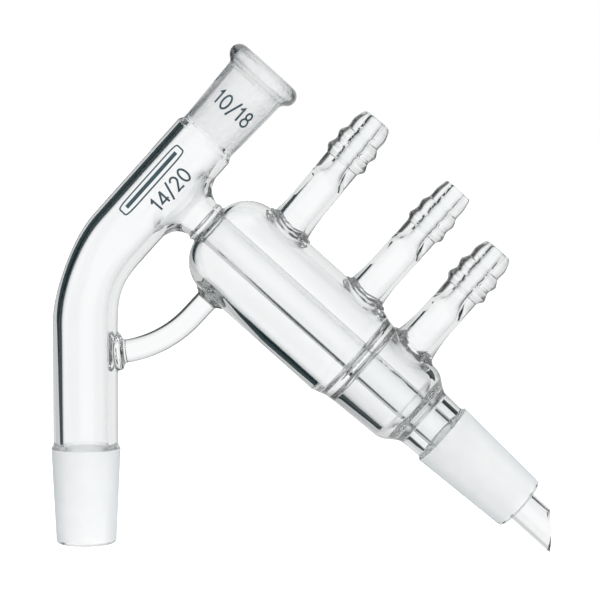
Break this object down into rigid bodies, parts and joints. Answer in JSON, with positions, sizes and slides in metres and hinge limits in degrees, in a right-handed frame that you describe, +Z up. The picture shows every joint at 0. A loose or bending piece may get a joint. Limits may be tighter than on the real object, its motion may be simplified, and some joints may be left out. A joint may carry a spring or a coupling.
{
  "type": "short-path distillation head",
  "caption": "Glass distillation head: bent vapour tube with thermometer socket, slanted water-jacketed condenser, vacuum chamber, hose connections and drip tip, on standard taper joints.",
  "frame": {"origin": "centre of the pot joint's large end, the 14.5 mm end of its ground zone", "axes": "+Z runs up the pot joint's axis, +X points to the receiver side, towards which the condenser slants down, and Y = 0 is the plane of symmetry"},
  "size_m": [0.1045, 0.0224, 0.1066],
  "materials": {
    "clear_glass": "clear, fire-polished borosilicate glass",
    "ground_glass": "borosilicate glass with a finely ground, frosted zone"
  },
  "bodies": {
    "root": {"pot_joint": "ground_glass", "vapour_tube": "clear_glass", "thermometer_joint": "ground_glass", "vapour_neck": "clear_glass", "upper_ring_seal": "clear_glass", "condenser_tube": "clear_glass", "condenser_jacket": "clear_glass", "lower_ring_seal": "clear_glass", "vacuum_chamber": "clear_glass", "receiver_neck": "clear_glass", "receiver_joint": "ground_glass", "drip_tube": "clear_glass", "water_outlet": "clear_glass", "water_inlet": "clear_glass", "vacuum_connection": "clear_glass", "brace_rod": "clear_glass"}
  },
  "joints": []
}
